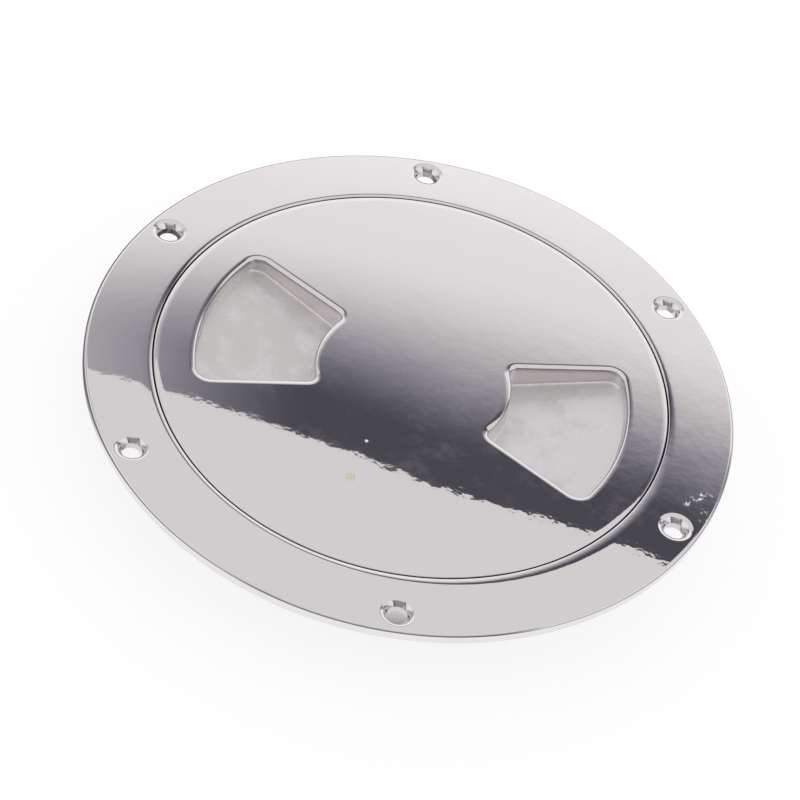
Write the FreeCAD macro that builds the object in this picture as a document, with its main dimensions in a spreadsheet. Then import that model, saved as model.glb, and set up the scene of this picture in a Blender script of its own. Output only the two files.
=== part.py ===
import FreeCAD, Part
import math
import os

import Sketcher

# Round screw-in deck inspection plate, cast in stainless steel and polished.
# Sizes are in millimetres. The origin is the centre of the screw circle, on the underside
# of the flange where it lies on the deck. +Z points up out of the deck, and a screw hole is on +Y.

PARTS_FOLDER = "parts"
SAME_PLACE = 0.02

# Driving sizes
SIZES = [
    ("plate_diameter", 143.0, "outside of the flange"),
    ("flange_width", 14.5, "visible flat of the ring, from the recess out to the rim"),
    ("ledge_width", 3.6, "seat of the seal, from the bore out to the recess wall"),
    ("flange_thickness", 2.8, "height of the ring above the deck"),
    ("flange_edge_round", 0.5, "round on the upper rim of the flange"),
    ("recess_edge_round", 1.2, "rolled inner edge of the ring"),
    ("recess_wall", 2.4, "wall of the collar beside the recess"),
    ("ledge_thickness", 2.8, "metal under the seat of the seal"),
    ("collar_wall", 2.8, "wall of the collar behind the thread"),
    ("collar_depth", 14.0, "reach of the collar below the deck surface"),
    ("cast_edge_round", 0.8, "rounds on the shoulder of the collar"),
    ("collar_chamfer", 0.8, "chamfer round the foot of the collar"),
    ("screw_count", 6, "deck screws"),
    ("screw_edge_distance", 5.25, "screw circle in from the rim of the flange"),
    ("screw_hole", 4.3, "clearance hole for a deck screw"),
    ("screw_head", 7.7, "countersink at the face of the flange"),
    ("countersink_angle", 90.0, "full angle of the countersink"),
    ("thread_pitch", 4.0, "rise of one turn"),
    ("thread_height", 1.5, "radial height of a thread ridge"),
    ("thread_flank_angle", 20.0, "slope of each flank from square"),
    ("thread_clearance", 0.3, "running clearance on flanks and crests"),
    ("thread_bite", 0.3, "root of each ridge sunk into its own wall"),
    ("thread_lead_in", 0.4, "chamfer at the mouth of the bore"),
    ("ring_thread_margin", 2.6, "ring thread's lowest centre above the foot of the collar"),
    ("ring_thread_headroom", 2.0, "ring thread's highest centre below the ledge"),
    ("lid_gap", 0.5, "gap between lid and ring"),
    ("lid_edge_round", 0.45, "round on the upper rim of the lid"),
    ("rim_thickness", 2.1, "rim of the lid, over the seal"),
    ("plate_thickness", 3.0, "disc of the lid"),
    ("neck_clearance", 0.3, "neck of the lid above the ledge"),
    ("skirt_wall", 2.6, "wall of the threaded skirt behind its ridges"),
    ("skirt_setback", 2.5, "foot of the skirt above the foot of the collar"),
    ("skirt_chamfer", 0.6, "chamfers on the foot of the skirt"),
    ("skirt_root_round", 1.5, "cast round where the skirt meets the disc"),
    ("lid_rest_angle", 12.8, "pockets turned clockwise of +X when the lid is tight"),
    ("seal_cord", 2.5, "cord of the O-ring before it is squeezed"),
    ("seal_height", 2.1, "height of the squeezed O-ring"),
    ("seal_clearance", 0.2, "O-ring clear of the neck"),
    ("pocket_count", 2, "finger pockets"),
    ("pocket_inner_radius", 21.75, "inner arc of a pocket"),
    ("pocket_rim_wall", 4.15, "metal between a pocket and the root of the lid's thread"),
    ("pocket_half_angle", 22.75, "slope of each side of a pocket from its own axis"),
    ("pocket_side_offset", 2.6, "each side moved out from its radial line"),
    ("pocket_inner_corner", 2.0, "corner radius at the inner arc"),
    ("pocket_outer_corner", 3.2, "corner radius at the outer arc"),
    ("pocket_inner_depth", 5.4, "depth at the inner arc"),
    ("pocket_outer_depth", 3.0, "depth at the outer arc"),
    ("pocket_edge_round", 0.85, "rolled upper edge of a pocket"),
    ("pocket_floor_round", 0.6, "round where a pocket's walls meet its floor"),
    ("pocket_wall", 2.2, "wall and floor of a pocket's boss"),
    ("boss_edge_round", 1.0, "cast round on the underside of a boss"),
]

doc = FreeCAD.newDocument("DeckInspectionPlate")
sheet = doc.addObject("Spreadsheet::Sheet", "Sizes")
for row, (alias, number, note) in enumerate(SIZES, start=1):
    sheet.set(f"A{row}", alias)
    sheet.set(f"B{row}", str(number))
    sheet.set(f"C{row}", note)
    sheet.setAlias(f"B{row}", alias)
doc.recompute()

# Radii of the ring
plate_radius = "(Sizes.plate_diameter / 2)"
recess_radius = f"({plate_radius} - Sizes.flange_width)"
bore_radius = f"({recess_radius} - Sizes.ledge_width)"
opening_radius = f"({bore_radius} - Sizes.thread_height)"
screw_circle_radius = f"({plate_radius} - Sizes.screw_edge_distance)"
collar_radius = f"({recess_radius} + Sizes.recess_wall)"
collar_foot_radius = f"({bore_radius} + Sizes.collar_wall)"
lead_in_radius = f"({bore_radius} + Sizes.thread_lead_in)"

# Heights of the ring
ledge_z = "(Sizes.flange_thickness - Sizes.rim_thickness - Sizes.seal_height)"
lead_in_z = f"({ledge_z} - Sizes.thread_lead_in)"
collar_foot_z = "(-Sizes.collar_depth)"
shoulder_top_z = f"({ledge_z} - Sizes.ledge_thickness)"
shoulder_foot_z = f"({shoulder_top_z} - {collar_radius} + {collar_foot_radius})"

# The seal lies in the middle of its ledge and keeps the area of its round cord.
seal_radius = f"(({lead_in_radius} + {recess_radius}) / 2)"
seal_flat = "(pi * (Sizes.seal_cord ^ 2 - Sizes.seal_height ^ 2) / 4 / Sizes.seal_height)"
seal_z = f"({ledge_z} + Sizes.seal_height / 2)"

# Radii and heights of the lid
lid_top_z = "Sizes.flange_thickness"
lid_radius = f"({recess_radius} - Sizes.lid_gap)"
neck_radius = f"({seal_radius} - {seal_flat} / 2 - Sizes.seal_height / 2 - Sizes.seal_clearance)"
skirt_radius = f"({opening_radius} - Sizes.thread_clearance)"
skirt_inner_radius = f"({skirt_radius} - Sizes.skirt_wall)"
rim_foot_z = f"({lid_top_z} - Sizes.rim_thickness)"
disc_foot_z = f"({lid_top_z} - Sizes.plate_thickness)"
neck_foot_z = f"({ledge_z} + Sizes.neck_clearance)"
skirt_foot_z = f"({collar_foot_z} + Sizes.skirt_setback)"

# Thread form: where both ridges are as wide, and half that width
thread_middle_radius = f"(({bore_radius} + {skirt_radius}) / 2)"
ridge_half_width = "((Sizes.thread_pitch / 2 - Sizes.thread_clearance) / 2)"
flank_slope = "tan(Sizes.thread_flank_angle)"

# The lid's ridge runs midway between the ring's turns, also after the lid is turned to rest.
ring_thread_z = f"({collar_foot_z} + Sizes.ring_thread_margin)"
ring_thread_rise = f"({ledge_z} - Sizes.ring_thread_headroom - {ring_thread_z})"
rest_turn = "(Sizes.lid_rest_angle / 360)"
lid_thread_z = f"({ring_thread_z} + Sizes.thread_pitch * (1 / 2 - {rest_turn}))"
lid_ridge_root = f"({ridge_half_width} + Sizes.thread_height * {flank_slope})"
lid_thread_rise = f"({neck_foot_z} - {lid_ridge_root} - {lid_thread_z})"

# Finger pockets: the floor rises from the inner arc to the outer one.
pocket_outer_radius = f"({skirt_radius} - Sizes.pocket_rim_wall)"
pocket_length = f"({pocket_outer_radius} - Sizes.pocket_inner_radius)"
floor_rise = "(Sizes.pocket_inner_depth - Sizes.pocket_outer_depth)"
floor_angle = f"atan({floor_rise} / {pocket_length})"
pocket_floor_z = f"({lid_top_z} - Sizes.pocket_inner_depth)"
boss_floor_z = f"({pocket_floor_z} - Sizes.pocket_wall / cos({floor_angle}))"
boss_inner_radius = "(Sizes.pocket_inner_radius - Sizes.pocket_wall)"
boss_outer_radius = f"({skirt_radius} - Sizes.skirt_wall / 2)"
boss_side_offset = "(Sizes.pocket_side_offset + Sizes.pocket_wall)"


def value(expression):
    """The number that an expression on the sheet comes to, in mm or degrees."""
    result = sheet.evalExpression(expression)
    return float(getattr(result, "Value", result))


def plane_of(body, role):
    """An origin plane of a body, by its role."""
    return next(item for item in body.Origin.OriginFeatures if item.Role == role)


def new_sketch(body, name, role, height=None):
    """A sketch on an origin plane of its body, raised along the plane's normal if a height is given."""
    sketch = body.newObject("Sketcher::SketchObject", name)
    sketch.AttachmentSupport = [(plane_of(body, role), "")]
    sketch.MapMode = "FlatFace"
    if height is not None:
        sketch.setExpression("AttachmentOffset.Base.z", height)
    return sketch


# In a constraint, point 1 of a line or arc is its start, 2 its end and 3 its centre,
# and point 1 of shape -1 is the origin. Shape -2 is the upright axis.
def bind(sketch, name, constraint, expression):
    """Adds a constraint and ties it to an expression on the sheet."""
    index = sketch.addConstraint(constraint)
    sketch.renameConstraint(index, name)
    sketch.setExpression(f"Constraints.{name}", expression)


def draw_section(body, name, corners):
    """A closed half section in the XZ plane, of straight lines. Each corner is tied to its radius and height."""
    sketch = new_sketch(body, name, "XZ_Plane")
    places = [FreeCAD.Vector(value(radius), value(height), 0) for radius, height in corners]
    count = len(places)
    for index in range(count):
        sketch.addGeometry(Part.LineSegment(places[index], places[(index + 1) % count]))
    for index in range(count):
        sketch.addConstraint(Sketcher.Constraint("Coincident", index, 2, (index + 1) % count, 1))
    for index, (radius, height) in enumerate(corners):
        across = Sketcher.Constraint("DistanceX", -1, 1, index, 1, places[index].x)
        bind(sketch, f"radius_{index}", across, radius)
        along = Sketcher.Constraint("DistanceY", -1, 1, index, 1, places[index].y)
        bind(sketch, f"height_{index}", along, height)
    return sketch


def revolve(body, name, sketch):
    """Turns a half section once about +Z."""
    solid = body.newObject("PartDesign::Revolution", name)
    solid.Profile = sketch
    solid.ReferenceAxis = (sketch, ["V_Axis"])
    solid.Angle = 360.0
    return solid


def edges_where(feature, test):
    """Names of a feature's edges whose two ends and middle all pass a test on the point."""
    doc.recompute()
    names = []
    for index, edge in enumerate(feature.Shape.Edges, start=1):
        middle = (edge.FirstParameter + edge.LastParameter) / 2
        points = [edge.valueAt(at) for at in (edge.FirstParameter, middle, edge.LastParameter)]
        if all(test(point) for point in points):
            names.append(f"Edge{index}")
    return names


def near(first, second):
    """True where two lengths are the same, for telling edges apart."""
    return abs(first - second) < SAME_PLACE


def radial(point):
    """Distance of a point from the axis."""
    return math.hypot(point.x, point.y)


def round_edges(body, name, test, radius):
    """A fillet on the edges of the body's tip that pass a test."""
    base = body.Tip
    names = edges_where(base, test)
    fillet = body.newObject("PartDesign::Fillet", name)
    fillet.Base = (base, names)
    fillet.setExpression("Radius", radius)
    return fillet


def round_rim(body, name, rims, radius):
    """A fillet on round rims of the body, each given by its radius and height."""
    places = [(value(rim_radius), value(rim_height)) for rim_radius, rim_height in rims]

    def on_a_rim(point):
        return any(near(radial(point), r) and near(point.z, z) for r, z in places)

    return round_edges(body, name, on_a_rim, radius)


def add_ridge(body, name, centre_z, rise, root_radius, crest_radius, inward):
    """A right-hand thread ridge of trapezoid form, added along a helix that starts at +X."""
    side = 1 if inward else -1

    def half_width(radius):
        slope = f"({radius} - {thread_middle_radius}) * {flank_slope}"
        return f"({ridge_half_width} + {side} * {slope})"

    root = f"({root_radius} + {side} * Sizes.thread_bite)"
    corners = [
        (root, f"({centre_z} - {half_width(root)})"),
        (crest_radius, f"({centre_z} - {half_width(crest_radius)})"),
        (crest_radius, f"({centre_z} + {half_width(crest_radius)})"),
        (root, f"({centre_z} + {half_width(root)})"),
    ]
    section = draw_section(body, f"{name}_section", corners)
    ridge = body.newObject("PartDesign::AdditiveHelix", name)
    ridge.Profile = section
    ridge.ReferenceAxis = (section, ["V_Axis"])
    ridge.Mode = "pitch-height-angle"
    ridge.setExpression("Pitch", "Sizes.thread_pitch")
    ridge.setExpression("Height", rise)
    ridge.LeftHanded = False
    return ridge


def draw_sector(body, name, height, inner_radius, outer_radius, side_offset):
    """The outline of a pocket or boss about +X: two arcs round the lid's centre, joined by two
    straight sides that are parallel to radial lines and moved out from them."""
    sketch = new_sketch(body, name, "XY_Plane", height)
    angle = math.radians(value("Sizes.pocket_half_angle"))
    offset = value(side_offset)
    ends = []
    for radius in (value(inner_radius), value(outer_radius)):
        along = math.sqrt(radius**2 - offset**2)
        x = along * math.cos(angle) - offset * math.sin(angle)
        y = along * math.sin(angle) + offset * math.cos(angle)
        ends.append((radius, x, y))
        spread = math.atan2(y, x)
        circle = Part.Circle(FreeCAD.Vector(0, 0, 0), FreeCAD.Vector(0, 0, 1), radius)
        sketch.addGeometry(Part.ArcOfCircle(circle, -spread, spread))
    (_, inner_x, inner_y), (_, outer_x, outer_y) = ends
    for sign in (1, -1):
        start = FreeCAD.Vector(inner_x, sign * inner_y, 0)
        end = FreeCAD.Vector(outer_x, sign * outer_y, 0)
        sketch.addGeometry(Part.LineSegment(start, end))
    inner_arc, outer_arc, left_side, right_side = range(4)
    for arc, bound in ((inner_arc, inner_radius), (outer_arc, outer_radius)):
        sketch.addConstraint(Sketcher.Constraint("Coincident", arc, 3, -1, 1))
        bind(sketch, f"radius_{arc}", Sketcher.Constraint("Radius", arc, value(bound)), bound)
    for side, arc_end, sign in ((left_side, 2, ""), (right_side, 1, "-")):
        sketch.addConstraint(Sketcher.Constraint("Coincident", inner_arc, arc_end, side, 1))
        sketch.addConstraint(Sketcher.Constraint("Coincident", outer_arc, arc_end, side, 2))
        slope = f"{sign}Sizes.pocket_half_angle"
        bind(sketch, f"angle_{side}", Sketcher.Constraint("Angle", side, math.radians(value(slope))), slope)
        bind(sketch, f"offset_{side}", Sketcher.Constraint("Distance", -1, 1, side, offset), side_offset)
    return sketch


def sloped_plane(body, name, height):
    """A plane through the inner arc's place on +X that rises outwards as the pocket's floor does."""
    plane = body.newObject("PartDesign::Plane", name)
    plane.AttachmentSupport = [(plane_of(body, "XY_Plane"), "")]
    plane.MapMode = "FlatFace"
    place = f"vector(Sizes.pocket_inner_radius; 0; {height})"
    plane.setExpression("AttachmentOffset", f"placement({place}; rotation(vector(0; -1; 0); {floor_angle}))")
    return plane


# Ring: one casting with flange, recess, ledge, stepped collar, screw holes and inner thread
ring = doc.addObject("PartDesign::Body", "deck_ring")
ring_section = draw_section(ring, "ring_section", [
    (bore_radius, collar_foot_z),
    (f"({collar_foot_radius} - Sizes.collar_chamfer)", collar_foot_z),
    (collar_foot_radius, f"({collar_foot_z} + Sizes.collar_chamfer)"),
    (collar_foot_radius, shoulder_foot_z),
    (collar_radius, shoulder_top_z),
    (collar_radius, "0"),
    (plate_radius, "0"),
    (plate_radius, "Sizes.flange_thickness"),
    (recess_radius, "Sizes.flange_thickness"),
    (recess_radius, ledge_z),
    (lead_in_radius, ledge_z),
    (bore_radius, lead_in_z),
])
revolve(ring, "ring_blank", ring_section)
round_rim(ring, "recess_edge", [(recess_radius, lid_top_z)], "Sizes.recess_edge_round")
round_rim(ring, "flange_edge", [(plate_radius, lid_top_z)], "Sizes.flange_edge_round")
shoulder_rims = [(collar_radius, shoulder_top_z), (collar_foot_radius, shoulder_foot_z)]
round_rim(ring, "shoulder_edges", shoulder_rims, "Sizes.cast_edge_round")

hole_sketch = new_sketch(ring, "screw_place", "XY_Plane", "Sizes.flange_thickness")
first_hole = FreeCAD.Vector(0, value(screw_circle_radius), 0)
hole_circle = Part.Circle(first_hole, FreeCAD.Vector(0, 0, 1), value("Sizes.screw_hole / 2"))
hole_sketch.addGeometry(hole_circle)
hole_sketch.addConstraint(Sketcher.Constraint("PointOnObject", 0, 3, -2))
hole_reach = Sketcher.Constraint("DistanceY", -1, 1, 0, 3, first_hole.y)
bind(hole_sketch, "reach", hole_reach, screw_circle_radius)
bind(hole_sketch, "size", Sketcher.Constraint("Diameter", 0, value("Sizes.screw_hole")), "Sizes.screw_hole")
doc.recompute()
screw_hole = ring.newObject("PartDesign::Hole", "screw_hole")
screw_hole.Profile = hole_sketch
screw_hole.DepthType = "ThroughAll"
screw_hole.HoleCutType = "Countersink"
screw_hole.HoleCutCustomValues = True
screw_hole.setExpression("Diameter", "Sizes.screw_hole")
screw_hole.setExpression("HoleCutDiameter", "Sizes.screw_head")
screw_hole.setExpression("HoleCutCountersinkAngle", "Sizes.countersink_angle")
doc.recompute()
screw_circle = ring.newObject("PartDesign::PolarPattern", "screw_circle")
screw_circle.Originals = [screw_hole]
screw_circle.Axis = (hole_sketch, ["N_Axis"])
screw_circle.Angle = 360.0
screw_circle.setExpression("Occurrences", "Sizes.screw_count")
ring.Tip = screw_circle
doc.recompute()
add_ridge(
    ring,
    "ring_thread",
    ring_thread_z,
    ring_thread_rise,
    bore_radius,
    opening_radius,
    inward=True,
)

# Lid: one casting with disc, neck, threaded skirt and two finger pockets in bosses
lid = doc.addObject("PartDesign::Body", "lid")
lid_section = draw_section(lid, "lid_section", [
    ("0", lid_top_z),
    (lid_radius, lid_top_z),
    (lid_radius, rim_foot_z),
    (neck_radius, rim_foot_z),
    (neck_radius, neck_foot_z),
    (skirt_radius, neck_foot_z),
    (skirt_radius, f"({skirt_foot_z} + Sizes.skirt_chamfer)"),
    (f"({skirt_radius} - Sizes.skirt_chamfer)", skirt_foot_z),
    (f"({skirt_inner_radius} + Sizes.skirt_chamfer)", skirt_foot_z),
    (skirt_inner_radius, f"({skirt_foot_z} + Sizes.skirt_chamfer)"),
    (skirt_inner_radius, disc_foot_z),
    ("0", disc_foot_z),
])
revolve(lid, "lid_blank", lid_section)
round_rim(lid, "lid_edge", [(lid_radius, lid_top_z)], "Sizes.lid_edge_round")
round_rim(lid, "skirt_root", [(skirt_inner_radius, disc_foot_z)], "Sizes.skirt_root_round")

boss_floor = sloped_plane(lid, "boss_floor", boss_floor_z)
boss_start_z = f"({lid_top_z} - Sizes.plate_thickness / 2)"
boss_outline = draw_sector(
    lid, "boss_outline", boss_start_z, boss_inner_radius, boss_outer_radius, boss_side_offset
)
boss = lid.newObject("PartDesign::Pad", "boss")
boss.Profile = boss_outline
boss.Reversed = True
boss.Type = "UpToFace"
boss.UpToFace = (boss_floor, [""])
doc.recompute()

pocket_floor = sloped_plane(lid, "pocket_floor", pocket_floor_z)
pocket_outline = draw_sector(
    lid,
    "pocket_outline",
    lid_top_z,
    "Sizes.pocket_inner_radius",
    pocket_outer_radius,
    "Sizes.pocket_side_offset",
)
pocket = lid.newObject("PartDesign::Pocket", "pocket")
pocket.Profile = pocket_outline
pocket.Type = "UpToFace"
pocket.UpToFace = (pocket_floor, [""])
doc.recompute()

pocket_pair = lid.newObject("PartDesign::PolarPattern", "pocket_pair")
pocket_pair.Originals = [boss, pocket]
pocket_pair.Axis = (pocket_outline, ["N_Axis"])
pocket_pair.Angle = 360.0
pocket_pair.setExpression("Occurrences", "Sizes.pocket_count")
lid.Tip = pocket_pair
doc.recompute()


def floor_depth(point, plane_z):
    """How far a point is above the sloped plane that passes through the inner arc at the given height."""
    climb = (abs(point.x) - value("Sizes.pocket_inner_radius")) * math.tan(math.radians(value(floor_angle)))
    return point.z - value(plane_z) - climb


def upright_at(radius, side_offset):
    """A test for the upright corner edges of the sectors, at an arc's radius and off the sectors' axis."""
    reach = value(radius)
    away = value(side_offset)
    return lambda point: near(radial(point), reach) and abs(point.y) > away


def round_corners(body, name, arc_radius, corner_radius):
    """A fillet on the upright corners where the sides of the pockets or bosses meet one of their arcs."""
    return round_edges(body, name, upright_at(arc_radius, boss_side_offset), corner_radius)


inner_corner = "Sizes.pocket_inner_corner"
boss_corner = f"({inner_corner} + Sizes.pocket_wall)"
round_share = "0.8"
outer_wall_height = "(Sizes.pocket_outer_depth - Sizes.pocket_edge_round)"
floor_round = f"min(Sizes.pocket_floor_round; {outer_wall_height} * {round_share})"
round_corners(lid, "pocket_inner_corners", "Sizes.pocket_inner_radius", inner_corner)
round_corners(lid, "pocket_outer_corners", pocket_outer_radius, "Sizes.pocket_outer_corner")
round_corners(lid, "boss_corners", boss_inner_radius, boss_corner)


def on_pocket_floor(point):
    return near(floor_depth(point, pocket_floor_z), 0)


def on_pocket_mouth(point):
    return near(point.z, value(lid_top_z)) and radial(point) < value(pocket_outer_radius) + SAME_PLACE


def on_boss_foot(point):
    return near(floor_depth(point, boss_floor_z), 0) and radial(point) < value(skirt_inner_radius) - SAME_PLACE


round_edges(lid, "pocket_floor_edges", on_pocket_floor, floor_round)
round_edges(lid, "pocket_mouths", on_pocket_mouth, "Sizes.pocket_edge_round")
round_edges(lid, "boss_edges", on_boss_foot, "Sizes.boss_edge_round")
doc.recompute()
add_ridge(
    lid,
    "lid_thread",
    lid_thread_z,
    lid_thread_rise,
    skirt_radius,
    f"({bore_radius} - Sizes.thread_clearance)",
    inward=False,
)
rest_rotation = "rotation(vector(0; 0; 1); -Sizes.lid_rest_angle)"
lid.setExpression("Placement", f"placement(vector(0; 0; 0); {rest_rotation})")

# Seal: an O-ring squeezed between the rim of the lid and the ledge of the ring
seal = doc.addObject("PartDesign::Body", "lid_o_ring")
seal_sketch = new_sketch(seal, "seal_section", "XZ_Plane")
half_height = value("Sizes.seal_height / 2")
half_flat = value(f"{seal_flat} / 2")
centre_z = value(seal_z)
for sign in (1, -1):
    centre = FreeCAD.Vector(value(seal_radius) + sign * half_flat, centre_z, 0)
    circle = Part.Circle(centre, FreeCAD.Vector(0, 0, 1), half_height)
    start = -math.pi / 2 if sign > 0 else math.pi / 2
    seal_sketch.addGeometry(Part.ArcOfCircle(circle, start, start + math.pi))
for sign in (1, -1):
    left = FreeCAD.Vector(value(seal_radius) - half_flat, centre_z + sign * half_height, 0)
    right = FreeCAD.Vector(value(seal_radius) + half_flat, centre_z + sign * half_height, 0)
    seal_sketch.addGeometry(Part.LineSegment(left, right))
outer_arc, inner_arc, upper_flat, lower_flat = range(4)
for arc, sign in ((outer_arc, "+"), (inner_arc, "-")):
    place = f"({seal_radius} {sign} {seal_flat} / 2)"
    across = Sketcher.Constraint("DistanceX", -1, 1, arc, 3, value(place))
    bind(seal_sketch, f"centre_{arc}", across, place)
    along = Sketcher.Constraint("DistanceY", -1, 1, arc, 3, centre_z)
    bind(seal_sketch, f"height_{arc}", along, seal_z)
    cord = Sketcher.Constraint("Radius", arc, half_height)
    bind(seal_sketch, f"radius_{arc}", cord, "Sizes.seal_height / 2")


def join_flat(arc, arc_end, flat, flat_end):
    """Joins an arc of the seal's section to a flat, straight above or below the arc's centre."""
    seal_sketch.addConstraint(Sketcher.Constraint("Coincident", arc, arc_end, flat, flat_end))
    seal_sketch.addConstraint(Sketcher.Constraint("Vertical", arc, arc_end, arc, 3))


join_flat(outer_arc, 2, upper_flat, 2)
join_flat(outer_arc, 1, lower_flat, 2)
join_flat(inner_arc, 1, upper_flat, 1)
join_flat(inner_arc, 2, lower_flat, 1)
revolve(seal, "squeezed_cord", seal_sketch)
doc.recompute()

failed = [item.Name for item in doc.Objects if "Invalid" in item.State or "Error" in item.State]
if failed:
    raise RuntimeError(f"not built: {failed}")
os.makedirs(PARTS_FOLDER, exist_ok=True)
pieces = [ring, lid, seal]
for piece in pieces:
    shape = piece.Shape
    if shape.isNull() or not shape.isValid() or len(shape.Solids) != 1:
        raise RuntimeError(f"{piece.Label} isn't one sound solid")
for piece in pieces:
    piece.Shape.exportStep(os.path.join(PARTS_FOLDER, f"{piece.Label}.step"))
    print(f"{piece.Label}: {piece.Shape.Volume:.0f} cubic mm")
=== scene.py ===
# %% [markdown]
# A screw-in deck plate is two castings and a rubber ring. The ring is screwed down round a hole in the
# deck, and the lid screws into it until its rim squeezes the O-ring. Their solids come ready made from the
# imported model, at their real size and in their real places, so this script never moves them. It gives them
# their finish, a camera where the photographer stood, and a studio for the polished steel to mirror.

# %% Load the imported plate
import math
from collections import namedtuple

import bmesh
import bpy
import numpy as np
from mathutils import Matrix, Vector
from mathutils.geometry import tessellate_polygon


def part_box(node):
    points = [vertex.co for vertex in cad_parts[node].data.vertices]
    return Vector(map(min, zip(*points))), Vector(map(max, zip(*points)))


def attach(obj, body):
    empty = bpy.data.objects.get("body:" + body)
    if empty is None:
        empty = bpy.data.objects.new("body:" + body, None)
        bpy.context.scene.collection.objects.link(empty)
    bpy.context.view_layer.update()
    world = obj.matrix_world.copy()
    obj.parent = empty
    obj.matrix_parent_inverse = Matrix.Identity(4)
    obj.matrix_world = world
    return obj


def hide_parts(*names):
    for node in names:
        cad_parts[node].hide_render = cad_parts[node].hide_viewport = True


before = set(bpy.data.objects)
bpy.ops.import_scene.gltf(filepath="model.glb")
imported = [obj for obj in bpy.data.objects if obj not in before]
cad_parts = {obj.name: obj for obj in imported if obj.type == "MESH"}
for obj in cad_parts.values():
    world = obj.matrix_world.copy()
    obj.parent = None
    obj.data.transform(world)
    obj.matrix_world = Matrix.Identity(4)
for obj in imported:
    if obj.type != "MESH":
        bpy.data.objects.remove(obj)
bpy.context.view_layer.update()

MM = 0.001
for node_name in sorted(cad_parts):
    low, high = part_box(node_name)
    print(node_name, "spans", [round(side / MM, 1) for side in high - low], "mm")

# %% [markdown]
# Heights and radii that the finishes need, such as where the polished face lies, are read from the frame's
# own boxes. If the plate is packed again at another size, its finishes follow it.

# %% Measure the places that the finishes need
ring_low, ring_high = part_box("deck_ring")
lid_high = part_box("lid")[1]
seal_low, seal_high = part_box("lid_o_ring")
FACE_Z = ring_high.z
FOOT_Z = ring_low.z
PLATE_RADIUS = ring_high.x
LID_RADIUS = lid_high.y
print("face at", round(FACE_Z / MM, 2), "mm, foot at", round(FOOT_Z / MM, 2), "mm")
print("plate radius", round(PLATE_RADIUS / MM, 2), "mm, lid radius", round(LID_RADIUS / MM, 2), "mm")

# %% [markdown]
# The photograph was taken with a long lens from about 46 degrees above the deck, half a metre away, and
# the camera was rolled by some 13 degrees, which leans the plate's oval over. A camera can be placed by
# hand and nudged until it fits, but a plate with six evenly spaced holes gives enough known points to work
# the place out. Here the camera is stated as a photographer would say it: the point it looks at, how far it
# is, its heading, its height above the horizon and its roll.

# %% Place the camera
LOOK_AT = Vector((-2.62, -8.46, 2.8)) * MM
CAMERA_DISTANCE = 521.9 * MM
CAMERA_HEADING = math.radians(-6.743)
CAMERA_ELEVATION = math.radians(45.757)
CAMERA_ROLL = math.radians(13.402)
LENS = 109.25
SENSOR = 36.0


def camera_axes(heading, elevation, roll):
    """Right, up and backward directions. Backward points from the target to the camera. Roll turns the
    level right and up directions about it."""
    backward = Vector((
        math.sin(heading) * math.cos(elevation),
        -math.cos(heading) * math.cos(elevation),
        math.sin(elevation),
    ))
    level_right = Vector((math.cos(heading), math.sin(heading), 0))
    level_up = backward.cross(level_right)
    right = level_right * math.cos(roll) + level_up * math.sin(roll)
    return right, backward.cross(right), backward


right, up, backward = camera_axes(CAMERA_HEADING, CAMERA_ELEVATION, CAMERA_ROLL)
camera = bpy.data.objects.new("camera", bpy.data.cameras.new("camera"))
bpy.context.scene.collection.objects.link(camera)
camera.matrix_world = Matrix.Translation(LOOK_AT + backward * CAMERA_DISTANCE) @ Matrix((
    (right.x, up.x, backward.x, 0),
    (right.y, up.y, backward.y, 0),
    (right.z, up.z, backward.z, 0),
    (0, 0, 0, 1),
))
camera.data.lens = LENS
camera.data.sensor_width = SENSOR
camera.data.clip_start = 0.05
camera.data.clip_end = 50
bpy.context.scene.camera = camera
bpy.context.scene.view_settings.view_transform = "Standard"
print("camera at", [round(c / MM, 1) for c in camera.matrix_world.translation], "mm")

# %% [markdown]
# Every finish below is a network of shader nodes. Wiring nodes by hand is slow to read, so one small class
# stands for a socket and lets Python's own signs build Math nodes. With it, a mask reads as a formula: for
# instance 1 - polished makes a Subtract node.

# %% A socket that can be reckoned with


class Flow:
    """A number, colour or vector that flows out of a node."""

    def __init__(self, recipe, socket):
        self.recipe = recipe
        self.socket = socket

    def __add__(self, other):
        return self.recipe.reckon("ADD", self, other)

    __radd__ = __add__

    def __sub__(self, other):
        return self.recipe.reckon("SUBTRACT", self, other)

    def __rsub__(self, other):
        return self.recipe.reckon("SUBTRACT", other, self)

    def __mul__(self, other):
        return self.recipe.reckon("MULTIPLY", self, other)

    __rmul__ = __mul__

    def __truediv__(self, other):
        return self.recipe.reckon("DIVIDE", self, other)

    def __pow__(self, other):
        return self.recipe.reckon("POWER", self, other)


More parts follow.
